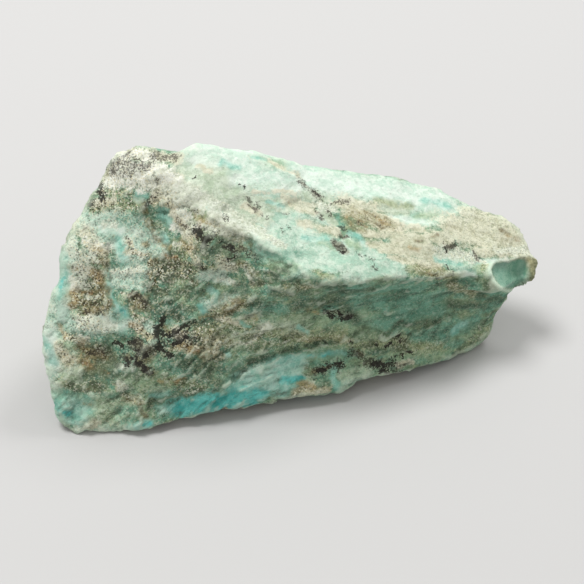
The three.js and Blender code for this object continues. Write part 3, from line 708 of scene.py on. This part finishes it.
def cloud(vector, across, detail, roughness, contrast=1.0):
    """Noise round 0.5 with lumps about that many millimetres across."""
    inputs = {"Vector": vector, "Scale": 1 / across, "Detail": detail, "Roughness": roughness}
    return plus(times(minus(node("TexNoise", inputs).outputs["Fac"], 0.5), contrast), 0.5)


def tint(red, green, blue):
    """A colour given as it looks on a screen, 0 to 255, as linear light."""
    return tuple(((c / 255 + 0.055) / 1.055) ** 2.4 for c in (red, green, blue)) + (1,)


def blend(share, first, second):
    """Mixes two colours. Sockets 6 and 7 of this node take them, and output 2 is the mixed one."""
    return node("Mix", {0: share, 6: first, 7: second}, data_type="RGBA").outputs[2]


def two_tones(share, deep, light):
    return blend(share, tint(*deep), tint(*light))


# Places on the skin, and places in the beds drawn out along them.
in_metres = node("TexCoord", {}).outputs["Object"]
skin_place = scaled(in_metres, (1 / MM, 1 / MM, 1 / MM))
bed_place = node("Attribute", {}, attribute_name="beds").outputs["Vector"]
along_beds = scaled(bed_place, (0.25, 0.35, 1))
tilted = scaled(bed_place, (0.5, 0.6, 1))
shade_place = node("VectorMath", {0: tilted, 1: (30, 10, 20)}, operation="ADD").outputs[0]

broad = cloud(skin_place, 7, 4, 0.6)
medium = cloud(skin_place, 2.2, 8, 0.8, 1.3)
mottle = cloud(skin_place, 1.2, 8, 0.85, 1.4)
pits = cloud(skin_place, 1.2, 8, 0.75)
speckle = cloud(skin_place, 0.5, 4, 0.7)
laminae = cloud(along_beds, 1.0, 6, 0.7)
hues = cloud(tilted, 2.4, 6, 0.65)
shade = cloud(shade_place, 3.2, 7, 0.7)
MIXERS = (medium, mottle, hues, speckle)
medium_mix, mottle_mix, hue_mix, fine_mix = [step(mixer, 0.4, 0.6) for mixer in MIXERS]

# Sand grains: each cell of a fine cellular pattern is one grain with its own tone and hue.
GRAIN = 0.25
CLUMPING = 1.2
grains = node("TexVoronoi", {"Vector": skin_place, "Scale": 1 / GRAIN})
grain_parts = node("SeparateColor", {0: grains.outputs["Color"]})
grain_tone, grain_hue = grain_parts.outputs[0], grain_parts.outputs[1]
clumped = plus(grain_tone, times(minus(mottle, 0.5), CLUMPING))

# The body of the stone, laid on an olive ground: the noise that shows each tone, where the tone
# starts and is full, its strength and its colour.
BODY = [
    (hues, 0.42, 0.58, 1.0, (106, 164, 140)),
    (broad, 0.46, 0.64, 0.5, (92, 158, 134)),
    (laminae, 0.5, 0.64, 0.4, (164, 198, 160)),
    (speckle, 0.56, 0.68, 0.4, (176, 196, 152)),
    (speckle, 0.42, 0.32, 0.4, (70, 86, 64)),
    (mottle, 0.48, 0.38, 0.55, (82, 100, 76)),
    (mottle, 0.52, 0.64, 0.6, (176, 196, 152)),
    (shade, 0.54, 0.66, 0.4, (178, 200, 164)),
]
colour = tint(122, 144, 110)
for pattern, low, high, strength, tone in BODY:
    colour = blend(times(step(pattern, low, high), strength), colour, tint(*tone))


def share_of(name, break_up, low, high, strength):
    """How much of a mineral shows: its own reading, with its edge broken up by mottling."""
    ragged = plus(reading(name), times(minus(mottle, 0.5), break_up))
    share = times(step(ragged, low, high), step(reading(name), 0.0, 0.15))
    return times(share, strength)


def lay_over(colour, minerals):
    """The colour with minerals laid over it in turn. Each has two tones, what mixes them, how far
    its edge is broken up, where it starts and is full, and its strength."""
    for name, (deep, light, mix, break_up, low, high, strength) in minerals.items():
        share = share_of(name, break_up, low, high, strength)
        colour = blend(share, colour, two_tones(mix, deep, light))
    return colour


colour = lay_over(colour, {
    "mint": ((172, 208, 186), (213, 232, 214), medium_mix, 1.2, 0.05, 0.5, 0.94),
    "celadon": ((184, 200, 172), (212, 224, 202), medium_mix, 1.2, 0.05, 0.5, 0.9),
    "sage": ((142, 170, 132), (176, 202, 162), medium_mix, 1.2, 0.0, 0.9, 0.75),
    "frost": ((202, 225, 208), (226, 238, 226), medium_mix, 1.0, 0.0, 0.8, 0.85),
    "olive": ((132, 142, 98), (174, 184, 140), mottle_mix, 1.2, 0.1, 0.9, 0.75),
    "cream": ((204, 201, 171), (229, 226, 203), mottle_mix, 1.6, 0.2, 0.7, 0.82),
    "teal": ((80, 138, 116), (120, 174, 150), hue_mix, 1.6, 0.1, 1.0, 0.8),
    "aqua": ((130, 196, 178), (178, 222, 206), medium_mix, 1.0, 0.05, 0.9, 0.82),
    "turquoise": ((42, 166, 160), (104, 208, 200), hue_mix, 1.4, 0.0, 0.85, 0.92),
    "soot": ((92, 88, 74), (150, 146, 126), mottle_mix, 1.6, 0.1, 0.6, 0.75),
    "chalk": ((222, 225, 204), (250, 252, 241), mottle_mix, 2.0, 0.1, 0.5, 0.92),
    "crust": ((184, 180, 146), (230, 228, 204), medium_mix, 1.8, 0.15, 0.65, 0.85),
})
sandy = share_of("sand", 1.2, 0.05, 0.8, 1.0)
sand_tones = two_tones(step(medium, 0.42, 0.58), (126, 116, 76), (158, 160, 120))
sand_tones = blend(step(mottle, 0.52, 0.68), sand_tones, tint(200, 198, 172))
colour = blend(times(sandy, 0.7), colour, sand_tones)
colour = lay_over(colour, {
    "brown": ((84, 70, 38), (136, 116, 70), fine_mix, 1.8, 0.15, 0.9, 0.75),
    "ochre": ((148, 116, 64), (198, 174, 122), grain_hue, 1.4, 0.1, 1.0, 0.7),
    "white": ((204, 212, 188), (238, 243, 226), fine_mix, 2.0, 0.15, 0.65, 0.85),
    # Dark moss green, partly painted shade.
    "moss_and_shade": ((58, 74, 54), (98, 120, 92), step(mottle, 0.42, 0.6), 1.8, 0.15, 0.7, 0.75),
    "rust": ((112, 70, 34), (172, 126, 78), fine_mix, 1.2, 0.1, 0.9, 0.85),
})

# Painted shade: the sides away from the upper face are darkened in patches and along the laminae.
SHADE_GREEN = tint(56, 70, 52)
shaded = times(step(shade, 0.46, 0.34), reading("painted_shade_share"))
colour = blend(shaded, colour, SHADE_GREEN)
# Painted shade along the laminae, in dark teal-green.
lamina_shade = times(step(laminae, 0.48, 0.36), times(reading("painted_shade_share"), 0.7))
colour = blend(lamina_shade, colour, tint(62, 88, 70))

# Pale and dark grains lie side by side, thickly in the sandy and chalky streaks and thinly
# elsewhere. Blue and frosty streaks are nearly clean, brown ones have fewer pale grains, and
# chalky ones fewer dark grains.
LEAST_GRIT = 0.45
crusty = share_of("crust", 1.2, 0.05, 0.8, 1.0)
chalky = times(larger(reading("chalk"), reading("white")), 0.7)
crowded = larger(larger(sandy, crusty), larger(chalky, reading("olive")))
crowded = times(crowded, larger(reading("gritty"), LEAST_GRIT))
clean = larger(larger(reading("turquoise"), reading("aqua")), reading("frost"))
clean = times(step(clean, 0.1, 0.5), 0.8)
crowding = times(plus(times(crowded, 0.6), times(reading("gritty"), 0.46)), minus(1.0, clean))
pale_grain = two_tones(step(grain_hue, 0.4, 0.9), (234, 234, 214), (212, 200, 158))
dark_grain = two_tones(step(grain_hue, 0.4, 0.9), (52, 50, 32), (86, 72, 44))
browned = share_of("brown", 1.8, 0.15, 0.9, 1.0)
pale_share = times(crowding, minus(1.0, times(browned, 0.6)))
colour = blend(times(step(clumped, 0.62, 0.9), pale_share), colour, pale_grain)
dark_share = times(crowding, minus(1.0, times(reading("chalk"), 0.8)))
colour = blend(times(step(clumped, 0.36, 0.1), dark_share), colour, dark_grain)

# The upper face is freckled with olive.
freckled = times(step(speckle, 0.38, 0.3), step(hues, 0.42, 0.58))
freckled = times(freckled, times(reading("topside"), 0.6))
colour = blend(freckled, colour, tint(118, 122, 90))

# Pepper is a sooty patch with dark grains. In black clusters, grains turn black one by one.
colour = blend(share_of("pepper", 2.0, 0.2, 1.0, 0.4), colour, tint(112, 104, 88))
pepper_edge = plus(clumped, times(minus(speckle, 0.5), 1.6))
peppered = step(minus(times(reading("pepper"), 0.9), pepper_edge), -0.15, 0.15)
peppered = times(peppered, step(reading("pepper"), 0.0, 0.25))
colour = blend(times(peppered, 0.7), colour, tint(52, 46, 36))
black_edge = plus(clumped, times(minus(speckle, 0.5), 2.2))
blackened = step(minus(times(reading("black"), 1.7), black_edge), -0.2, 0.3)
blackened = times(blackened, step(reading("black"), 0.0, 0.25))
colour = blend(times(blackened, 0.95), colour, two_tones(grain_hue, (16, 15, 10), (52, 48, 36)))

# Edges are pale from wear, partly a painted highlight; hollows hold dark dust and painted shade.
# Pale edges: partly wear, partly a painted highlight.
rubbed_and_highlit = times(step(reading("proud"), 0.08, 0.35), 0.4)
colour = blend(rubbed_and_highlit, colour, tint(226, 236, 214))
# Hollows on the sides are darkened by dark dust and by painted shade.
hollowed = times(step(reading("proud"), -0.03, -0.35), step(mottle, 0.62, 0.42))
hollowed = times(hollowed, step(reading("painted_shade_share"), 0.0, 0.4))
colour = blend(times(hollowed, 0.55), colour, SHADE_GREEN)

# The scoop: sea-green glass with painted shadow at its upper left, its pale lip and brown rim.
glass_tone = two_tones(step(medium, 0.35, 0.65), (108, 156, 134), (140, 178, 156))
# Painted shadow darkens the glass under the scoop's upper left edge.
glass_tone = blend(times(reading("scoop_shadow"), 0.6), glass_tone, tint(66, 104, 88))
colour = blend(reading("glassy"), colour, glass_tone)
colour = blend(times(reading("lip"), 0.9), colour, tint(218, 238, 216))
rim_tone = two_tones(mottle_mix, (98, 94, 48), (152, 148, 100))
colour = blend(times(reading("rim"), 0.8), colour, rim_tone)
tree.links.new(colour, shader.inputs["Base Color"])

# Relief too fine for the mesh, bump over bump, each a pattern, its strength and its depth. Glass
# has hardly any.
BUMPS = [(grain_tone, 0.25, 0.2), (pits, 0.8, 0.6), (speckle, 0.4, 0.25)]
dulled = minus(1.0, times(reading("glassy"), 0.9))
bumped = {}
for pattern, strength, depth in BUMPS:
    inputs = {"Height": pattern, "Strength": times(dulled, strength), "Distance": depth * MM}
    bumped = {"Normal": node("Bump", {**inputs, **bumped}).outputs[0]}
tree.links.new(bumped["Normal"], shader.inputs["Normal"])

# Stone is matt, each grain a little differently, and the glass has a low shine.
STONE_ROUGHNESS = 0.92
roughness = minus(STONE_ROUGHNESS, times(reading("glassy"), 0.55))
tree.links.new(minus(roughness, times(grain_tone, 0.12)), shader.inputs["Roughness"])

stone_data.materials.clear()
stone_data.materials.append(paint)
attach(stone, "root")
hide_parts("chrysocolla")
